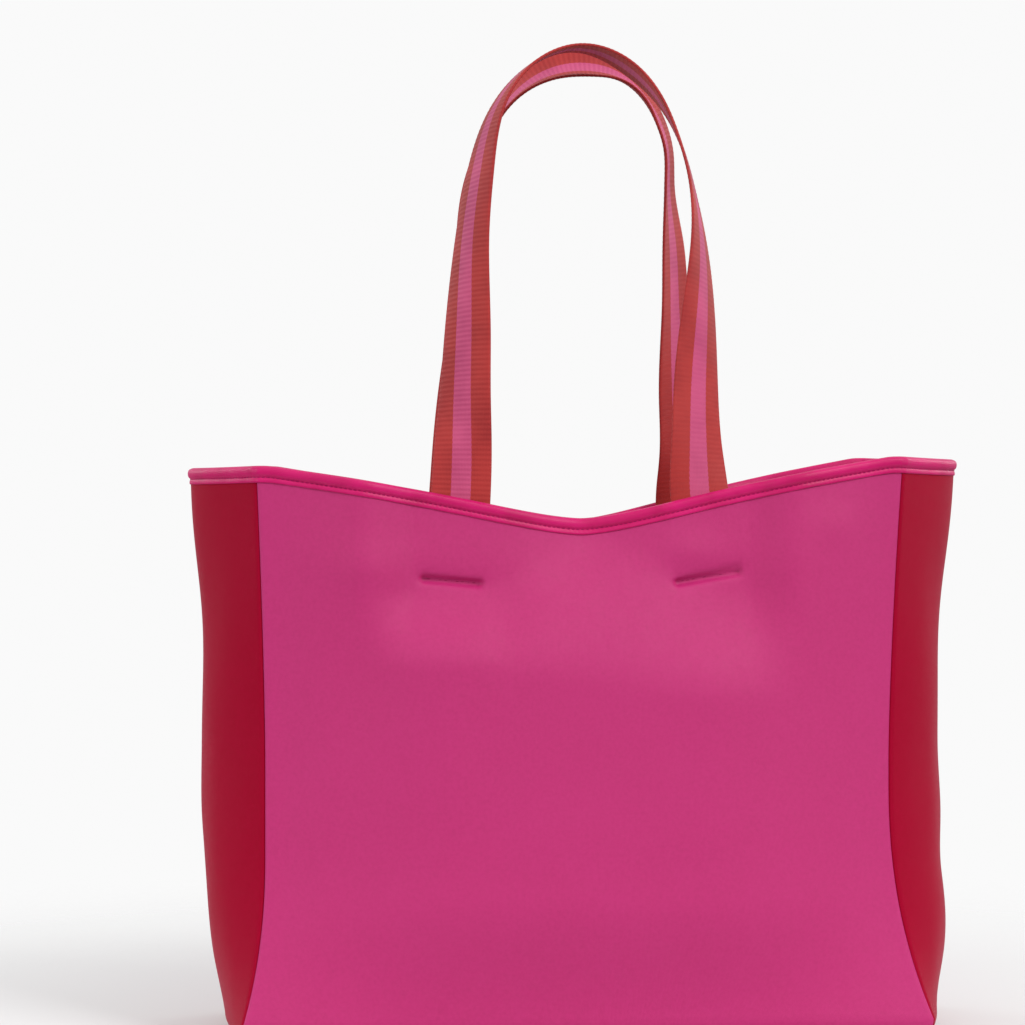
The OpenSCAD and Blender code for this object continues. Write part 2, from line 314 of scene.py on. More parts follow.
CREASE_ABOVE, CREASE_BELOW, CREASE_PAST = mm(1.9, 2.6, 2.2)
DIMPLE_DEPTH, DIMPLE_REACH = mm(2.4, 8)
GUSSET_WAVE, GUSSET_WAVE_LENGTH = mm(1.3, 150)
GUSSET_UNEVEN = 0.8 * MM
GUSSET_FOOT = 60 * MM  # the height below which a gusset's waves fade out


def line_frame(x, z, line):
    """Distance past the ends of a line and height above it, for points of a panel."""
    (x0, z0), (x1, z1) = line
    length = math.hypot(x1 - x0, z1 - z0)
    ux, uz = (x1 - x0) / length, (z1 - z0) / length
    along = (x - x0) * ux + (z - z0) * uz
    above = (z - z0) * ux - (x - x0) * uz
    past = np.maximum(np.maximum(-along, along - length), 0)
    return past, above


def crease(x, z, line):
    """The groove of a stitch line, with a steep upper lip and a soft lower one."""
    past, above = line_frame(x, z, line)
    reach = np.where(above > 0, CREASE_ABOVE, CREASE_BELOW)
    return CREASE_DEPTH * np.exp(-(above / reach) ** 2) * np.exp(-(past / CREASE_PAST) ** 2)


def dimple(x, z, line):
    """The hollow that a stitch line pulls the cloth into."""
    past, above = line_frame(x, z, line)
    return DIMPLE_DEPTH * np.exp(-np.hypot(past, above) / DIMPLE_REACH)


def swell(x, z, face):
    """How far a panel swells out, less what the straps draw in."""
    depth, left, right, top, extra = DRAWN_IN[face]
    low = mix(left, right, ease(x / (2 * STITCH_X) + 0.5))
    high = top + extra * np.exp(-((x - BETWEEN_X) / BETWEEN_REACH) ** 2)
    broad = ease((PANEL_HALF - np.abs(x)) / SWELL_SIDE) * ease(z / SWELL_FOOT)
    drawn = ease((DRAWN_HALF - np.abs(x)) / DRAWN_EDGE) * ease((z - low) / (high - low))
    return depth * broad * (1 - drawn)


def panel_height(x, z, face):
    """How far a panel stands out from the plane between its seams."""
    half = np.where(x < 0, seam_x(z, "left"), seam_x(z, "right"))
    inside = np.clip(1 - (x / half) ** 2, 0, 1)
    t = np.clip(z / rim_height(x, face), 0, 1)
    bowed = ease(2.2 * t) * (1 - 0.5 * ease(2 * t - 1))
    height = PANEL_BULGE * bowed * np.cos(np.pi / 2 * np.clip(np.abs(x) / half, 0, 1))
    height += SHOULDER * ease((half - np.abs(x)) / SHOULDER_REACH) * ease(4 * t) * ease(6 * (1 - t))
    height += swell(x, z, face)
    for cx, cz, rise, wide, tall in SWELLS[face]:
        height += rise * np.exp(-((x - cx) / wide) ** 2 - ((z - cz) / tall) ** 2) * ease(inside * 4)
    for line in STITCH_LINES[face]:
        height -= dimple(x, z, line)
    return height


def pressed(distance, reach, depth):
    """Cloth rounds over into a seam, like two edges pressed together."""
    t = np.clip(distance / reach, 0, 1)
    return depth * (1 - np.sqrt(1 - (1 - t) ** 2))


def soft_waves(a, b, seed):
    """A sum of long waves in two directions, the same on every run."""
    rng = np.random.default_rng(seed)
    count = 5
    total = 0
    for _ in range(count):
        fa, fb = rng.uniform(0.6, 2.4, 2)
        pa, pb = rng.uniform(0, 2 * np.pi, 2)
        total += np.sin(2 * np.pi * fa * a + pa) * np.sin(2 * np.pi * fb * b + pb)
    return total / count


def gusset_height(s, z):
    """Slack in a gusset: shallow waves up it, none at the seams or at its foot."""
    wave = GUSSET_WAVE * np.sin(2 * np.pi * z / GUSSET_WAVE_LENGTH + 2 * s)
    uneven = GUSSET_UNEVEN * soft_waves(s, z / RIM_Z, 11)
    return (1 - s * s) * (wave + uneven) * ease(z / GUSSET_FOOT)


def face_columns(face):
    """The ring's columns that cover a face, both of its seams included."""
    own = np.flatnonzero(FACES == face)
    return np.append(own, (own[-1] + 1) % COLUMNS)


def soft_ring():
    """The middle shape of the walls: bulges and hollows, without the seams' and stitches' creases."""
    bare = bare_ring()
    x, z = bare[..., 0], bare[..., 2]
    height = np.zeros(bare.shape[:2])
    for face in ("front", "back"):
        on = FACES == face
        height[:, on] = panel_height(x[:, on], z[:, on], face)
    for face in ("left", "right"):
        on = FACES == face
        height[:, on] = gusset_height(PLACES[on][None, :], z[:, on])
    return bare + ring_normals(bare) * height[..., None]


def creases(soft):
    """Depth of the seams and stitch lines, pressed into the outer face alone."""
    gap = np.minimum(seam_distance(soft), distances(soft[:, 0])[:, None])
    depth = pressed(gap, SEAM_ROLL, SEAM_DEPTH)
    for face in ("front", "back"):
        on = FACES == face
        for line in STITCH_LINES[face]:
            depth[:, on] += crease(soft[:, on, 0], soft[:, on, 2], line)
    return depth


def inner_ring(soft, normals):
    """The walls' inner face. Columns beside a corner move along it, so that it doesn't cross itself."""
    reach = 12 * MM
    inner = soft - normals * WALL_T
    for face in FIRST:
        columns = face_columns(face)
        for row in range(len(soft)):
            points, out = soft[row, columns], normals[row, columns]
            corner = out[[0, -1]]
            out[0], out[-1] = out[1], out[-2]
            cosine = np.clip((corner * out[[0, -1]]).sum(1), 0.5, 1)
            trim = WALL_T * np.sqrt(1 / cosine ** 2 - 1)
            s = distances(points)
            moved = s + trim[0] * np.clip(1 - s / reach, 0, 1)
            moved -= trim[1] * np.clip(1 - (s[-1] - s) / reach, 0, 1)
            inner[row, columns] = along_line(moved, s, points - out * WALL_T)
    return inner


SOFT = soft_ring()
NORMALS = ring_normals(SOFT)
OUTER = SOFT - NORMALS * creases(SOFT)[..., None]
INNER = inner_ring(SOFT, NORMALS)
AROUND = distances(SOFT[len(SOFT) // 2], closed=True)  # round the body, halfway up its rows


# ---- Meshes ----


def new_object(name, data):
    item = bpy.data.objects.new(name, data)
    bpy.context.scene.collection.objects.link(item)
    return item


def mesh_object(name, points, faces, uvs, material):
    """A mesh object with a UV map in metres, one UV for each point."""
    mesh = bpy.data.meshes.new(name)
    mesh.from_pydata(np.asarray(points).tolist(), [], faces)
    mesh.update()
    layer = mesh.uv_layers.new(name="Cloth")
    index = np.zeros(len(mesh.loops), int)
    mesh.loops.foreach_get("vertex_index", index)
    layer.data.foreach_set("uv", np.asarray(uvs, np.float32)[index].ravel())
    mesh.shade_smooth()
    mesh.materials.append(material)
    return new_object(name, mesh)


def grid_faces(rows, columns, start=0, round_rows=False, round_columns=False, flip=False):
    """Quads of a grid whose points run along its rows. It may close on itself either way."""
    faces = []
    for r in range(rows if round_rows else rows - 1):
        low, high = start + r * columns, start + (r + 1) % rows * columns
        for c in range(columns if round_columns else columns - 1):
            d = (c + 1) % columns
            quad = [low + c, low + d, high + d, high + c]
            faces.append(quad[::-1] if flip else quad)
    return faces


def sheet_object(name, outer, inner, uvs, material):
    """A closed sheet between an outer and an inner grid of points."""
    rows, columns = outer.shape[:2]
    side = rows * columns
    index = np.arange(side).reshape(rows, columns)
    rim = np.concatenate([index[0], index[1:, -1], index[-1, -2::-1], index[-2:0:-1, 0]]).tolist()
    faces = grid_faces(rows, columns) + grid_faces(rows, columns, side, flip=True)
    faces += [[b, a, side + a, side + b] for a, b in zip(rim, rim[1:] + rim[:1])]
    points = np.concatenate([outer.reshape(-1, 3), inner.reshape(-1, 3)])
    return mesh_object(name, points, faces, np.tile(uvs.reshape(-1, 2), (2, 1)), material)


def end_caps(count, sides, start=0):
    """The two faces that close a bar of rings of points."""
    last = start + (count - 1) * sides
    return [list(range(start, start + sides))[::-1], list(range(last, last + sides))]


def tube_object(name, rings, uvs, material, closed=False):
    """A bar through rings of points, with capped ends unless it closes on itself."""
    count, sides = rings.shape[:2]
    faces = grid_faces(count, sides, round_rows=closed, round_columns=True)
    if not closed:
        faces += end_caps(count, sides)
    return mesh_object(name, rings.reshape(-1, 3), faces, uvs.reshape(-1, 2), material)


# ---- Materials ----


def set_inputs(node, **values):
    """Sets inputs of a node by name, with _ for each space."""
    for name, value in values.items():
        node.inputs[name.replace("_", " ")].default_value = value


def linear(colour):
    """A socket's colour from 8-bit screen values."""
    shares = [value / 255 for value in colour]
    return (*(c / 12.92 if c <= 0.04045 else ((c + 0.055) / 1.055) ** 2.4 for c in shares), 1)


def add_node(tree, kind, **values):
    node = tree.nodes.new(f"ShaderNode{kind}")
    set_inputs(node, **values)
    return node


class Nodes:
    """A material's node tree, with short calls for the nodes that the materials share."""

    def __init__(self, name):
        self.material = bpy.data.materials.new(name)
        self.material.use_nodes = True
        self.tree = self.material.node_tree
        self.shader = self.tree.nodes["Principled BSDF"]
        uv = add_node(self.tree, "UVMap")
        uv.uv_map = "Cloth"
        split = add_node(self.tree, "SeparateXYZ")
        self.link(uv.outputs[0], split.inputs[0])
        self.u, self.v = split.outputs[0], split.outputs[1]
        self.place = add_node(self.tree, "TexCoord").outputs["Object"]

    def link(self, source, socket):
        self.tree.links.new(source, socket)

    def feed(self, socket, value):
        """Sets a socket to a number or a colour, or links it to an output."""
        if isinstance(value, (int, float)):
            socket.default_value = value
        elif isinstance(value, tuple):
            socket.default_value = linear(value)
        else:
            self.link(value, socket)

    def math(self, operation, a, b=0.0, c=0.0):
        node = add_node(self.tree, "Math")
        node.operation = operation
        for socket, value in zip(node.inputs, (a, b, c)):
            self.feed(socket, value)
        return node.outputs[0]

    def weigh(self, share, a, b):
        """A weighted mean of two values, with a's share given."""
        return self.math("MULTIPLY_ADD", a, share, self.math("MULTIPLY", b, 1 - share))

    def noise(self, scale, detail=2.0):
        node = add_node(self.tree, "TexNoise", Scale=scale, Detail=detail)
        self.link(self.place, node.inputs["Vector"])
        return node.outputs[0]

    def cells(self, scale):
        node = add_node(self.tree, "TexVoronoi", Scale=scale)
        self.link(self.place, node.inputs["Vector"])
        return node.outputs["Distance"]

    def ramp(self, value, *stops):
        node = add_node(self.tree, "ValToRGB")
        elements = node.color_ramp.elements
        while len(elements) < len(stops):
            elements.new(0.5)
        for element, (position, colour) in zip(elements, stops):
            element.position = position
            element.color = linear(colour)
        self.link(value, node.inputs[0])
        return node.outputs[0]

    def blend(self, factor, a, b):
        node = add_node(self.tree, "Mix")
        node.data_type = "RGBA"
        for index, value in ((0, factor), (6, a), (7, b)):
            self.feed(node.inputs[index], value)
        return node.outputs[2]

    def wave(self, coordinate, pitch):
        """A sine along a coordinate in metres, from 0 to 1."""
        turned = self.math("MULTIPLY", coordinate, 2 * math.pi / pitch)
        return self.math("MULTIPLY_ADD", self.math("SINE", turned), 0.5, 0.5)

    def shade(self, height, tone, deep):
        """A tone that is deeper where the height field is low: painted shade in the grooves of a weave or
        knit.
        """
        return self.blend(self.math("MULTIPLY", self.math("SUBTRACT", 1.0, height), 0.3), tone, deep)

    def finish(self, colour, roughness, height, depth, **constants):
        """Wires the shader. height is the bump's height field from 0 to 1, depth its scale in metres."""
        self.link(colour, self.shader.inputs["Base Color"])
        self.feed(self.shader.inputs["Roughness"], roughness)
        bump = add_node(self.tree, "Bump", Strength=1.0, Distance=depth)
        self.link(height, bump.inputs["Height"])
        self.link(bump.outputs[0], self.shader.inputs["Normal"])
        set_inputs(self.shader, **constants)
        return self.material


def neoprene(name, deep, body, pale, sheen_tint, sheen, gloss):
    """Knit-faced neoprene: fine columns of stitches over foam, with a soft bloom."""
    n = Nodes(name)
    off_middle = n.math("ABSOLUTE", n.math("SUBTRACT", n.wave(n.u, 1.5 * MM), 0.5))
    zigzag = n.math("MULTIPLY", off_middle, 0.9 * MM)
    wale = n.wave(n.u, 0.75 * MM)
    course = n.wave(n.math("ADD", n.v, zigzag), 0.62 * MM)
    knit = n.weigh(0.7, n.math("MULTIPLY", wale, course), n.noise(900))
    cloud = n.weigh(0.3, n.noise(14, 3), n.noise(420))
    tone = n.ramp(cloud, (0.25, deep), (0.5, body), (0.75, pale))
    # Painted shade: the knit's low stitches are darkened towards the deep tone
    colour = n.shade(knit, tone, deep)
    roughness = n.math("MULTIPLY_ADD", n.noise(140), 0.12, gloss[1])
    return n.finish(colour, roughness, knit, 0.08 * MM, Sheen_Weight=sheen, Sheen_Roughness=0.25,
                    Sheen_Tint=(*sheen_tint, 1), Specular_IOR_Level=gloss[0])


def tape(name, deep, body, pale):
    """Smooth knitted binding tape: close ribs along it and a satin gloss."""
    n = Nodes(name)
    weave = n.weigh(0.55, n.wave(n.v, 0.9 * MM), n.wave(n.u, 0.55 * MM))
    tone = n.ramp(n.noise(45, 3), (0.35, deep), (0.5, body), (0.66, pale))
    # Painted shade: the weave's grooves are darkened towards the deep tone
    colour = n.shade(weave, tone, deep)
    roughness = n.math("MULTIPLY_ADD", n.noise(160), 0.14, 0.36)
    return n.finish(colour, roughness, weave, 0.05 * MM, Sheen_Weight=0.08, Sheen_Roughness=0.3,
                    Sheen_Tint=(1.0, 0.4, 0.7, 1), Specular_IOR_Level=0.3)


RIB_PITCH = 3.2 * MM
STRIPE_HALF = 6.3 * MM


def webbing_material(name, red, red_deep, pink, pink_deep):
    """Ribbed woven webbing: red, pink and red stripes along it, crossed by ribs. u runs across, v along."""
    n = Nodes(name)
    rib = n.wave(n.v, RIB_PITCH)
    fray = n.math("MULTIPLY_ADD", rib, 0.25 * MM, -0.12 * MM)
    uneven = n.math("ADD", n.u, n.math("MULTIPLY", n.noise(300), 0.2 * MM))
    outside = n.math("GREATER_THAN", n.math("ADD", n.math("ABSOLUTE", uneven), fray), STRIPE_HALF)
    yarn = n.weigh(0.6, rib, n.wave(n.u, 0.95 * MM))
    thread = n.weigh(0.8, yarn, n.noise(1200))
    # Random mottling, and painted shade: a quarter of this field is the ribs' and yarns' height, so the
    # webbing is darker in its grooves
    mottle_and_rib_shade = n.weigh(0.75, n.noise(35, 3), thread)
    red_tone = n.ramp(mottle_and_rib_shade, (0.25, red_deep), (0.62, red))
    pink_tone = n.ramp(mottle_and_rib_shade, (0.25, pink_deep), (0.62, pink))
    colour = n.blend(outside, pink_tone, red_tone)
    roughness = n.math("MULTIPLY_ADD", thread, -0.18, 0.72)
    return n.finish(colour, roughness, thread, 0.06 * MM, Sheen_Weight=0.1, Sheen_Roughness=0.4,
                    Sheen_Tint=(1.0, 0.72, 0.72, 1), Specular_IOR_Level=0.3)


def thread_material(name, deep, body):
    """Twisted sewing thread."""
    n = Nodes(name)
    twist = n.wave(n.math("ADD", n.u, n.v), 0.5 * MM)
    # Painted shade: the thread is darker in the grooves of its twist
    colour = n.ramp(twist, (0.2, deep), (0.8, body))
    return n.finish(colour, 0.5, twist, 0.05 * MM, Specular_IOR_Level=0.25)


def board_material(name):
    """Pebbled polyethylene board."""
    n = Nodes(name)
    pebble = n.weigh(0.7, n.cells(420), n.noise(1500))
    colour = n.ramp(n.noise(30, 3), (0.35, (40, 36, 40)), (0.65, (54, 49, 54)))
    roughness = n.math("MULTIPLY_ADD", n.noise(90), 0.2, 0.5)
    return n.finish(colour, roughness, pebble, 0.25 * MM, Specular_IOR_Level=0.4)


MAGENTA = neoprene("panel_neoprene", (181, 23, 102), (188, 27, 108), (192, 31, 113),
                   (1.0, 0.45, 0.7), 0.12, (0.5, 0.55))
RED = neoprene("gusset_neoprene", (151, 0, 37), (157, 0, 41), (163, 0, 45),
               (1.0, 0.62, 0.7), 0.36, (0.06, 0.6))
BINDING = tape("binding_tape", (188, 4, 91), (200, 8, 100), (208, 12, 108))
SEAM_TAPE = tape("seam_tape", (160, 16, 84), (180, 26, 98), (190, 36, 108))
WEBBING = webbing_material("striped_webbing", (174, 48, 46), (144, 31, 34), (198, 77, 121),
                           (169, 56, 100))
THREAD = thread_material("thread", (138, 0, 68), (178, 2, 92))
BOARD = board_material("base_board")


# ---- Walls ----


def wall_uvs(columns):
    around = AROUND[np.append(columns[:-1], columns[-2] + 1)]
    return stack(around, SOFT[:, columns, 2])


def wall_area(columns):
    """Area of a wall's cloth, and its width and length laid flat."""
    points = SOFT[:, columns]
    across = np.linalg.norm(np.diff(points, axis=1), axis=-1).sum(1)
    rises = np.linalg.norm(np.diff(points, axis=0), axis=-1)
    middle = (across[1:] + across[:-1]) / 2
    return float((middle * rises.mean(1)).sum()), float(across.max()), float(rises.sum(0).max())


def make_wall(face, node, material):
    columns = face_columns(face)
    piece = sheet_object(f"{node}_cloth", OUTER[:, columns], INNER[:, columns], wall_uvs(columns), material)
    area, width, length = wall_area(columns)
    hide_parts(node)
    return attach(piece, "bag")


# ---- Base ----

BASE_SEAM_DEPTH = 1.4 * MM
SPINE_HALF = 150 * MM  # half the length of the line that the base's loops shrink towards


def base_loops(top):
    """Loops of the base cloth from its sewn edge to its middle, on its lower or its upper face."""
    sewn_inset = HEM_R * (1 - math.sin(HEM_START * math.pi / 2))
    level = np.full(COLUMNS, HEM_TOP)
    loops = []
    for inset in mm(0.3, 0.7, 1.3, 2.1, 3.2, 5, 8):
        z = WALL_T if top else pressed(inset, SEAM_ROLL, BASE_SEAM_DEPTH)
        loops.append(stack(*outline(level, sewn_inset + inset).T, z))
    edge = loops[-1]
    spine = stack(np.clip(edge[:, 0], -SPINE_HALF, SPINE_HALF), 0, edge[:, 2])
    return np.array(loops + [mix(edge, spine, shrink) for shrink in (0.15, 0.3, 0.5, 0.7)])


def make_base():
    below, above = base_loops(False), base_loops(True)
    rings = np.concatenate([below[::-1], above])
    piece = tube_object("base_panel_cloth", rings, rings[..., :2], MAGENTA)
    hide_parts("base_panel")
    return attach(piece, "bag")


def board_plan(corner):
    """The board's outline with its round corners, and a mitred step of 1 inward at each point."""
    radius = 18 * MM
    turn = np.linspace(0, np.pi / 2, 9)
    angle = np.concatenate([turn + quarter * np.pi / 2 for quarter in range(4)])
    sign = np.repeat([(1, 1), (-1, 1), (-1, -1), (1, -1)], len(turn), axis=0)
    plan = sign * (np.array(corner.xy) - radius) + radius * stack(np.cos(angle), np.sin(angle))
    before, after = unit(plan - np.roll(plan, 1, 0)), unit(np.roll(plan, -1, 0) - plan)
    x, y = (before + after).T / (1 + (before * after).sum(1))
    return plan, stack(-y, x)


def make_board():
    """A stiff board with softened edges."""
    low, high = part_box("base_board")
    plan, into = board_plan(high)
    bevel = 0.7 * MM
    half = [(8 * MM, 0), (bevel, 0), (0.3 * bevel, 0.3 * bevel), (0, bevel)]
    levels = [(inset, low.z + rise) for inset, rise in half]
    levels += [(inset, high.z - rise) for inset, rise in half[::-1]]
    rings = np.array([stack(*(plan + into * inset).T, z) for inset, z in levels])
    piece = tube_object("base_board_moulded", rings, rings[..., :2], BOARD)
    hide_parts("base_board")
    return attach(piece, "bag")


# ---- Rim binding ----

# The binding's section, from its lower edge outside over the rim to its lower edge inside. Each point is its
# place through the wall, 0 outside and 1 inside, and in mm how far it stands off and its depth below the rim.
BINDING_SURFACE = (
    (0, 0.15, 10.0), (0, 0.7, 9.85), (0, 0.9, 9.4), (0, 0.92, 8.6), (0, 0.8, 7.8), (0, 0.45, 7.1),
    (0, 0.2, 6.6), (0, 0.55, 6.1), (0, 1.15, 5.6), (0, 1.6, 4.9), (0, 1.9, 3.9), (0, 1.95, 2.8),
    (0, 1.8, 1.7), (0, 1.4, 0.8), (0, 0.7, 0.1), (0.15, 0, -0.45), (0.4, 0, -0.75), (0.6, 0, -0.75),
    (0.85, 0, -0.45), (1, -0.5, 0.2), (1, -0.95, 1.0), (1, -1.25, 2.1), (1, -1.35, 3.3), (1, -1.2, 4.6),
    (1, -0.8, 5.7), (1, -0.25, 6.6), (1, -0.55, 7.3), (1, -0.75, 8.3), (1, -0.7, 9.4), (1, -0.5, 9.85),
    (1, -0.1, 10.0),
)
BINDING_CORE = ((1, 0.1, 9.5), (1, 0.1, 1.8), (0, -0.1, 1.8), (0, -0.1, 9.5))
STITCH_DEPTH = 6.6  # how far the binding's stitches lie below the rim, in mm
STITCH_PITCH = 3.1 * MM
BINDING_THREAD_R, BINDING_THREAD_OFF = mm(0.24, 0.35)
PUCKER, WAVINESS = mm(0.096, 0.036)
PUCKER_REACH = 2.6  # reach of the puckers above and below the stitches, in mm
SEAM_DIPS = (mm(0.42, 1.3), mm(-0.21, 4))  # how deep and how wide the binding dips at a seam


def at_depth(face_points, depth):
    """Points of a face of the walls at a depth below the rim, for every column."""
    first = len(face_points) - UPPER_ROWS - 1
    t = np.clip((TOPS - depth - LEVEL_TOP) / (TOPS - RAW_EDGE - LEVEL_TOP), 0, 1) * UPPER_ROWS
    row = np.minimum(t.astype(int), UPPER_ROWS - 1)
    columns = np.arange(COLUMNS)
    points = mix(face_points[first + row, columns], face_points[first + row + 1, columns], (t - row)[:, None])
    points[:, 2] = TOPS - depth
    return points


def soften(points, reach):
    """Gaussian smoothing round a closed loop, reach in points."""
    span = int(3 * reach)
    weights = np.exp(-0.5 * (np.arange(-span, span + 1) / reach) ** 2)
    weights /= weights.sum()
    return sum(w * np.roll(points, k, 0) for k, w in zip(range(-span, span + 1), weights))


RIM_STEP = 0.9 * MM
RIM_DISTANCE = distances(SOFT[-1], closed=True)
RIM_COUNT = int(RIM_DISTANCE[-1] / RIM_STEP)
RIM_ALONG = np.arange(RIM_COUNT) / RIM_COUNT * RIM_DISTANCE[-1]
RIM_SOFTNESS = 2.6  # reach of the smoothing round the rim, in steps


def rim_loop(points):
    """A point for each column, resampled at even distances round the rim and softened."""
    return soften(along_line(RIM_ALONG, RIM_DISTANCE, np.concatenate([points, points[:1]])), RIM_SOFTNESS)


def rim_faces(depth):
    """The wall's outer and inner faces under the binding, and the direction out of it."""
    outer, inner = rim_loop(at_depth(SOFT, depth)), rim_loop(at_depth(INNER, depth))
    return outer, inner, unit(outer - inner)


def rim_point(through, off, depth):
    outer, inner, out = rim_faces(depth * MM)
    return mix(outer, inner, through) + out * np.reshape(off, (-1, 1))


def binding_unevenness(depth):
    """Puckers between stitches, seams that show through, and a hand-sewn waviness."""
    near_stitch = math.exp(-((depth - STITCH_DEPTH) / PUCKER_REACH) ** 2)
    uneven = PUCKER * near_stitch * np.sin(2 * np.pi * RIM_ALONG / STITCH_PITCH)
    t = RIM_ALONG / RIM_DISTANCE[-1] * 2 * np.pi
    uneven += WAVINESS * (np.sin(23 * t + 1) + np.sin(41 * t) + np.sin(67 * t + 2))
    for column in FIRST.values():
        gap = np.abs(RIM_ALONG - RIM_DISTANCE[column])
        gap = np.minimum(gap, RIM_DISTANCE[-1] - gap)
        for deep, wide in SEAM_DIPS:
            uneven -= deep * np.exp(-(gap / wide) ** 2)
    return uneven


def make_binding():
    rings = [rim_point(through, off * MM + np.sign(off) * binding_unevenness(depth), depth)
             for through, off, depth in BINDING_SURFACE]
    rings += [rim_point(through, off * MM, depth) for through, off, depth in BINDING_CORE]
    rings = np.array(rings).transpose(1, 0, 2)
    uvs = stack(RIM_ALONG[:, None], distances(rings[0]))
    piece = tube_object("rim_binding_tape", rings, uvs, BINDING, closed=True)
    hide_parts("rim_binding")
    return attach(piece, "bag")


# ---- Stitching ----


class Thread:
    """Gathers rows of single stitches into one piece."""

    SIDES = 6
    SHAPE = ((-0.5, -0.7, 0.35), (-0.42, -0.1, 0.8), (-0.2, 0.3, 1), (0.2, 0.3, 1), (0.42, -0.1, 0.8),
             (0.5, -0.7, 0.35))

    def __init__(self):
        self.points, self.faces, self.uvs = [], [], []

    def stitch(self, start, end, out, radius):
        """One stitch from start to end, that rises out of the cloth between them."""
        along = end - start
        side = unit(np.cross(along, out))
        out = unit(np.cross(side, along))
        first = len(self.points)
        for place, lift, size in self.SHAPE:
            centre = (start + end) / 2 + along * place + out * lift * radius
            for k in range(self.SIDES):
                angle = 2 * math.pi * k / self.SIDES
                self.points.append(centre + radius * size * (side * math.cos(angle) + out * math.sin(angle)))
                self.uvs.append((place * float(np.linalg.norm(along)), angle * radius))
        self.faces += grid_faces(len(self.SHAPE), self.SIDES, first, round_columns=True)
        self.faces += end_caps(len(self.SHAPE), self.SIDES, first)

    def row(self, points, outs, pitch, radius, closed=False):
        """A row of stitches along a line of points."""
        if closed:
            points, outs = np.concatenate([points, points[:1]]), np.concatenate([outs, outs[:1]])
        distance = distances(points)
        count = int(round(distance[-1] / pitch))
        for k in range(count):
            start, middle, end = ((k + t) / count * distance[-1] for t in (0.12, 0.5, 0.88))
            self.stitch(along_line(start, distance, points), along_line(end, distance, points),
                        along_line(middle, distance, outs), radius)

    def piece(self, name, *nodes):
        piece = mesh_object(name, self.points, self.faces, self.uvs, THREAD)
        if nodes:
            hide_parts(*nodes)
        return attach(piece, "bag")


def sew_binding():
    """Two rows of stitches hold the binding, outside and inside."""
    thread = Thread()
    for through, side in ((0, 1), (1, -1)):
        line = rim_point(through, side * BINDING_THREAD_OFF, STITCH_DEPTH)
        out = side * rim_faces(STITCH_DEPTH * MM)[2]
        thread.row(line, out, STITCH_PITCH, BINDING_THREAD_R, closed=True)
    return thread.piece("rim_binding_stitches")


# ---- Seam tapes ----

TAPE_HALF = 4.4 * MM
TAPE_SUNK = 0.2 * MM  # how far a tape's underside lies in the wall
TAPE_FOOT = 8 * MM  # height of an upright tape's lower end
BASE_TAPE_HALF, BASE_TAPE_CROWN = mm(4, 1.2)
TAPE_SOFTNESS = 1.5  # smoothing round the base, in columns


def across_seam(column, offsets):
    """Points and normals of the inner face at offsets from an upright seam: rows by places across it."""
    reach = 16
    span = np.arange(column - reach, column + reach + 1) % COLUMNS
    lines = []
    for points, normals in zip(INNER[:, span], NORMALS[:, span]):
        place = distances(points)
        lines.append(along_line(offsets, place - place[reach], np.concatenate([points, normals], 1)))
    lines = np.array(lines)
    return lines[..., :3], unit(lines[..., 3:])


def tape_crown(offsets):
    """How far a tape stands off its seam: broad and almost flat, with a ridge over the raw edges."""
    broad, half, ridge, reach = mm(1.3, 4.6, 0.5, 1.6)
    return broad * (1 - (offsets / half) ** 4) + ridge * np.exp(-(offsets / reach) ** 2)


def make_seam_tape(node, face):
    """Tape over the raw edges of an upright seam, inside the bag."""
    offsets = np.linspace(-TAPE_HALF, TAPE_HALF, 13)
    points, normals = across_seam(FIRST[face], offsets)
    height = points[:, len(offsets) // 2, 2]
    keep = (height > TAPE_FOOT) & (height < TOPS[FIRST[face]] - BINDING_H)
    points, normals = points[keep], normals[keep]
    raised = points - normals * tape_crown(offsets)[:, None]
    sunk = points + normals * TAPE_SUNK
    piece = sheet_object(f"{node}_cloth", sunk, raised, stack(points[..., 2], offsets), SEAM_TAPE)
    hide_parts(node)
    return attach(piece, "bag")


def make_base_tape():
    """Tape over the seam round the base, inside the bag."""
    rows = slice(3, HEM_ROWS - 1)
    points, normals = INNER[rows], NORMALS[rows]
    t = np.linspace(-1, 1, len(points))
    crown = BASE_TAPE_CROWN * (1 - t ** 4)
    raised, sunk = (soften((points + normals * off).transpose(1, 0, 2), TAPE_SOFTNESS)
                    for off in (-crown[:, None, None], TAPE_SUNK))
    rings = np.concatenate([raised, sunk[:, ::-1]], 1)
    uvs = stack(AROUND[:COLUMNS, None], np.concatenate([t, t[::-1]]) * BASE_TAPE_HALF)
    piece = tube_object("base_seam_tape_cloth", rings, uvs, SEAM_TAPE, closed=True)
    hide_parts("base_seam_tape")
    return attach(piece, "bag")


# ---- Handles ----

TAIL_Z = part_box("front_handle_left_end")[0].z
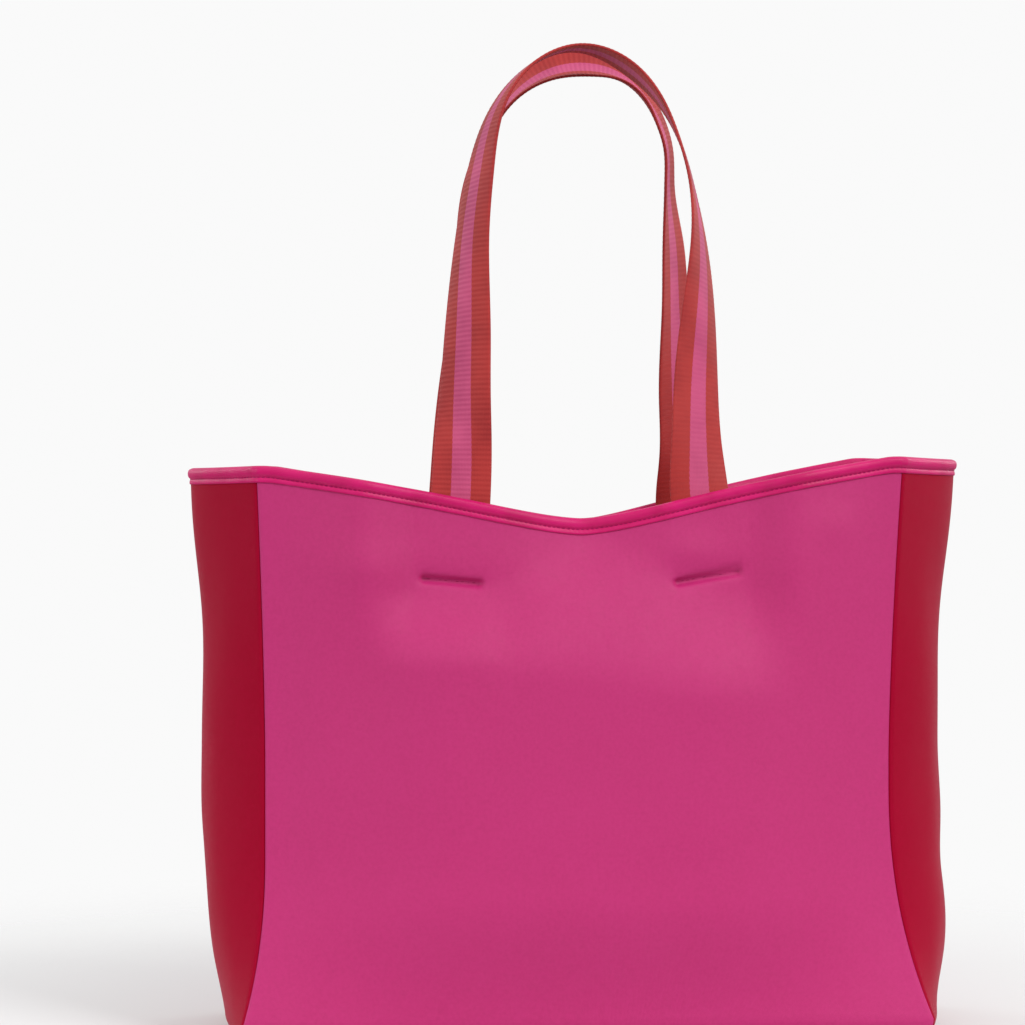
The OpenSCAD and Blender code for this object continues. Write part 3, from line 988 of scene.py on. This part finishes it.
# Stations along a strap from its left end over the loop to its right end: x and z in mm, how far the webbing
# has turned from lying along the panel in degrees, and how far its middle curls out of its face in mm.
LEFT_TAIL = ((-80, TAIL_Z / MM, 0, 0), (-79, 306, 1, 0))
RIGHT_TAIL = ((80, 306, 1, 0), (80, TAIL_Z / MM, 0, 0))
STRAPS = {
    "front": (
        (-76.5, 352, 5, 0.3), (-74, 409, 31, 2.5), (-72, 452, 41, 3), (-69, 512, 57, 3), (-63, 560, 66, 2),
        (-52.5, 600, 77, 1), (-30, 630, 84, 0), (0.5, 642, 87, 0), (30, 632, 93, 0), (53.5, 609, 88, 0),
        (67, 581, 82, 0), (74.5, 552, 80, 0), (78.5, 518, 71, 1), (78, 476, 54, 2), (75, 420, 36, 1.5),
        (75, 372, 20, 0.5), (76, 350, 4, 0),
    ),
    "back": (
        (-75.5, 352, 6, 0), (-71.5, 440, 43, -1), (-67.5, 505, 60, -2), (-65.5, 556, 70, -2),
        (-56, 593, 81, -2), (-34, 624, 70, -3), (-10, 637, 58, -4), (12, 639, 56, -4), (35, 633, 66, -4),
        (52, 617, 74, -3), (60.5, 601, 74, -2), (66, 583, 76, -2), (67, 560, 76, -2), (70, 520, 63, -1.5),
        (72, 480, 57, -1.5), (74.5, 420, 43, -0.5), (77, 375, 34, 0), (79, 348, 8, 0),
    ),
}
STRAP_STEP = 0.8 * MM
STRAP_CLEAR = 2.5 * MM  # how much further in than the CAD's a strap passes the rim
STRAP_OFF = 0.3 * MM  # room between the tails and the panel
RIB_DEPTH = 0.06 * MM
SEWN_PITCH = 3.4 * MM
SEWN_THREAD_R, SEWN_THREAD_SUNK = mm(0.35, 0.1)
SEWN_MARGIN = 1.5 * MM
SEWN_ROWS = mm(-2.5, 2.5)  # heights of the rows on the inside, from the stitch line


def smooth_curve(stations, step):
    """A natural cubic curve through stations, resampled at even steps of the distance along it."""
    stations = np.asarray(stations, float)
    knots = distances(stations[:, :3])
    gaps = np.diff(knots)
    slopes = np.diff(stations, axis=0) / gaps[:, None]
    system = np.eye(len(knots))
    right = np.zeros_like(stations)
    for i in range(1, len(knots) - 1):
        system[i, i - 1:i + 2] = gaps[i - 1], 2 * (gaps[i - 1] + gaps[i]), gaps[i]
        right[i] = 6 * (slopes[i] - slopes[i - 1])
    bend = np.linalg.solve(system, right)
    s = np.linspace(0, knots[-1], int(knots[-1] / step) + 1)
    i = np.clip(np.searchsorted(knots, s) - 1, 0, len(gaps) - 1)
    g, a, b = gaps[i][:, None], (knots[i + 1] - s)[:, None], (s - knots[i])[:, None]
    return (bend[i] * a ** 3 / (6 * g) + bend[i + 1] * b ** 3 / (6 * g)
            + (stations[i] / g - bend[i] * g / 6) * a + (stations[i + 1] / g - bend[i + 1] * g / 6) * b), s


def inner_y(x, z, face):
    """Distance of a panel's inner face from the middle of the bag."""
    return float(half_depth(z) + panel_height(np.array(x), np.array(z), face)) - WALL_T


def tail_y(x, face):
    """Distance from the middle of the bag of the innermost cloth that a strap's tail is sewn to."""
    edges = (STITCH_X - STRAP_W / 2, STITCH_X, STITCH_X + STRAP_W / 2)
    return min(inner_y(math.copysign(edge, x), STITCH_Z, face) for edge in edges)


def strap_y(x, z, face):
    """Distance of a strap from the middle of the bag: taut inside, then leaning in to the top of the loop."""
    low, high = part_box("front_handle")
    fold_y, top_y = -low.y - STRAP_T / 2 - STRAP_CLEAR, STRAP_W / 2 - high.y
    if z > FOLD_Z:
        return mix(fold_y, top_y, (z - FOLD_Z) / (LOOP_TOP - FOLD_Z))
    sewn_y = tail_y(x, face) - STRAP_T / 2 - STRAP_OFF
    return mix(sewn_y, fold_y, ease((z - STITCH_Z) / (FOLD_Z - STITCH_Z)))


def strap_section():
    """Half-round edges and flat faces: places across the webbing and out of its face."""
    end = STRAP_W / 2 - STRAP_T / 2
    flat = np.linspace(-end, end, 17)
    turn = np.linspace(np.pi / 2, -np.pi / 2, 6)[1:-1]
    right = stack(end + STRAP_T / 2 * np.cos(turn), STRAP_T / 2 * np.sin(turn))
    front = stack(flat, STRAP_T / 2)
    return np.concatenate([front, right, -front, -right])


def make_strap(face):
    """One length of webbing, sewn inside the bag at both ends."""
    side = -1 if face == "front" else 1
    stations = [(x * MM, side * strap_y(x * MM, z * MM, face), z * MM, math.radians(turn), curl * MM)
                for x, z, turn, curl in LEFT_TAIL + STRAPS[face] + RIGHT_TAIL]
    curve, s = smooth_curve(stations, STRAP_STEP)
    centre, turn, curl = curve[:, :3], curve[:, 3:4], curve[:, 4:]
    tangent = unit(np.gradient(centre, axis=0))
    inward = unit(stack(tangent[:, 2], 0, -tangent[:, 0]))
    across = unit(np.cos(turn) * inward - np.sin(turn) * np.cross(tangent, inward))
    out = np.cross(across, tangent)
    section = strap_section()
    rib = RIB_DEPTH * np.cos(2 * np.pi * s / RIB_PITCH)
    edge = 1 - np.abs(section[:, 0]) / (STRAP_W / 2)
    ribbed = 1 + rib[:, None] / STRAP_T * 2 * ease(edge * 20)[None, :]
    cup = curl * (1 - (section[:, 0] / (STRAP_W / 2)) ** 2)
    rings = (centre[:, None] + across[:, None] * section[None, :, :1]
             + out[:, None] * (section[None, :, 1] * ribbed + cup)[..., None])
    piece = tube_object(f"{face}_strap", rings, stack(section[:, 0], s[:, None]), WEBBING)
    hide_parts(f"{face}_handle", f"{face}_handle_left_end", f"{face}_handle_right_end")
    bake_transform(piece)


def sew_strap(face):
    """A line of stitches through panel and webbing at each end of a strap."""
    side = -1 if face == "front" else 1
    for which, line in zip(("left", "right"), STITCH_LINES[face]):
        thread = Thread()
        (x0, z0), (x1, z1) = line
        x = np.linspace(x0 + SEWN_MARGIN, x1 - SEWN_MARGIN, 30)
        z = np.interp(x, (x0, x1), (z0, z1))
        outer = half_depth(z) + panel_height(x, z, face) - crease(x, z, line) - SEWN_THREAD_SUNK
        inner = tail_y(x0, face) - STRAP_T - STRAP_OFF
        outs = np.tile((0.0, side, 0.0), (len(x), 1))
        thread.row(stack(x, side * outer, z), outs, SEWN_PITCH, SEWN_THREAD_R)
        for rise in SEWN_ROWS:
            thread.row(stack(x, side * inner, STITCH_Z + rise), -outs, SEWN_PITCH, SEWN_THREAD_R)
        thread.piece(f"{face}_{which}_stitch_thread", f"{face}_{which}_stitch")


# ---- Making the pieces ----

make_base()
for face in ("front", "back"):
    make_wall(face, f"{face}_panel", MAGENTA)
for face in ("left", "right"):
    make_wall(face, f"{face}_gusset", RED)
make_board()
make_binding()
sew_binding()
# Each seam tape sits at the first column of the face that follows its seam round the body
AFTER_SEAM = {"front_right": "right", "back_right": "back", "back_left": "left", "front_left": "front"}
for corner, face in AFTER_SEAM.items():
    make_seam_tape(f"seam_tape_{corner}", face)
make_base_tape()
for face in ("front", "back"):
    make_strap(face)
    sew_strap(face)

# ---- Stage, light and camera ----

CAMERA_DISTANCE = 1.9
CAMERA_HEIGHT = 314 * MM
CAMERA_AZIMUTH = math.radians(-4)
CAMERA_SHIFT = (-0.06, 0.0366)
SENSOR_WIDTH = 36
FRAME_WIDTH = 651 * MM  # width of the view at the front panel
FRONT_DISTANCE = CAMERA_DISTANCE - 73 * MM  # from the camera to the front panel
LIGHT_TARGET = (0, 0, 0.25)


def make_camera():
    data = bpy.data.cameras.new("camera")
    data.sensor_width = SENSOR_WIDTH
    data.lens = SENSOR_WIDTH * FRONT_DISTANCE / FRAME_WIDTH
    data.shift_x, data.shift_y = CAMERA_SHIFT
    camera = new_object("camera", data)
    camera.location = (CAMERA_DISTANCE * math.sin(CAMERA_AZIMUTH),
                       -CAMERA_DISTANCE * math.cos(CAMERA_AZIMUTH), CAMERA_HEIGHT)
    camera.rotation_euler = (math.pi / 2, 0, CAMERA_AZIMUTH)
    bpy.context.scene.camera = camera


def area_light(name, place, power):
    """A square softbox, 1 m wide, turned to the bag."""
    data = bpy.data.lights.new(name, "AREA")
    data.size = 1.0
    data.energy = power
    light = new_object(name, data)
    light.location = place
    light.rotation_euler = (Vector(LIGHT_TARGET) - Vector(place)).to_track_quat("-Z", "Y").to_euler()


def wire(tree, *links):
    """Links each output to its input."""
    for source, socket in links:
        tree.links.new(source, socket)


def make_floor():
    """A pale floor just under the bag, which fades out into the white around it."""
    size = 3.0
    mesh = bpy.data.meshes.new("floor")
    corners = [(-size, -size, 0), (size, -size, 0), (size, size, 0), (-size, size, 0)]
    mesh.from_pydata(corners, [], [(0, 1, 2, 3)])
    floor = new_object("floor", mesh)
    floor.location.z = -0.2 * MM
    material = bpy.data.materials.new("floor")
    material.use_nodes = True
    tree = material.node_tree
    shader = tree.nodes["Principled BSDF"]
    set_inputs(shader, Base_Color=(0.65, 0.65, 0.65, 1), Roughness=0.9, Specular_IOR_Level=0.1,
               Emission_Color=(1, 1, 1, 1), Emission_Strength=0.12)
    coord = add_node(tree, "TexCoord")
    length = add_node(tree, "VectorMath")
    length.operation = "LENGTH"
    fade = add_node(tree, "MapRange", From_Min=0.3, From_Max=0.95)
    fade.interpolation_type = "SMOOTHSTEP"
    clear = add_node(tree, "BsdfTransparent")
    blend = add_node(tree, "MixShader")
    wire(tree, (coord.outputs["Object"], length.inputs[0]), (length.outputs["Value"], fade.inputs["Value"]),
         (fade.outputs[0], blend.inputs[0]), (shader.outputs[0], blend.inputs[1]),
         (clear.outputs[0], blend.inputs[2]),
         (blend.outputs[0], tree.nodes["Material Output"].inputs["Surface"]))
    mesh.materials.append(material)


def make_world():
    """A white studio: bright behind the object, and softer where it lights it, more from above."""
    world = bpy.data.worlds.new("studio")
    bpy.context.scene.world = world
    world.use_nodes = True
    tree = world.node_tree
    seen = tree.nodes["Background"]
    set_inputs(seen, Color=(1, 1, 1, 1), Strength=0.955)
    sky = add_node(tree, "Background", Strength=0.86)
    split = add_node(tree, "SeparateXYZ")
    ramp = add_node(tree, "ValToRGB")
    low, high = ramp.color_ramp.elements
    low.position = 0.3
    low.color = (0.25, 0.25, 0.25, 1)
    high.position = 0.9
    up = add_node(tree, "Math")
    up.operation = "MULTIPLY_ADD"
    up.inputs[1].default_value = up.inputs[2].default_value = 0.5
    choose = add_node(tree, "MixShader")
    path = add_node(tree, "LightPath")
    direction = add_node(tree, "TexCoord")
    wire(tree, (direction.outputs["Generated"], split.inputs[0]), (split.outputs[2], up.inputs[0]),
         (up.outputs[0], ramp.inputs[0]), (ramp.outputs[0], sky.inputs["Color"]),
         (path.outputs["Is Camera Ray"], choose.inputs[0]), (sky.outputs[0], choose.inputs[1]),
         (seen.outputs[0], choose.inputs[2]),
         (choose.outputs[0], tree.nodes["World Output"].inputs["Surface"]))


make_camera()
make_world()
make_floor()
area_light("key", (1.5, -1.8, 2.2), 44)
area_light("right", (2.2, -1.2, 0.9), 8)
area_light("left", (-2.2, -1.2, 0.9), 19)
area_light("back_right", (2.3, 1.5, 1.2), 12)
area_light("back_left", (-2.3, 1.5, 1.2), 12)
bpy.context.scene.view_settings.view_transform = "Standard"
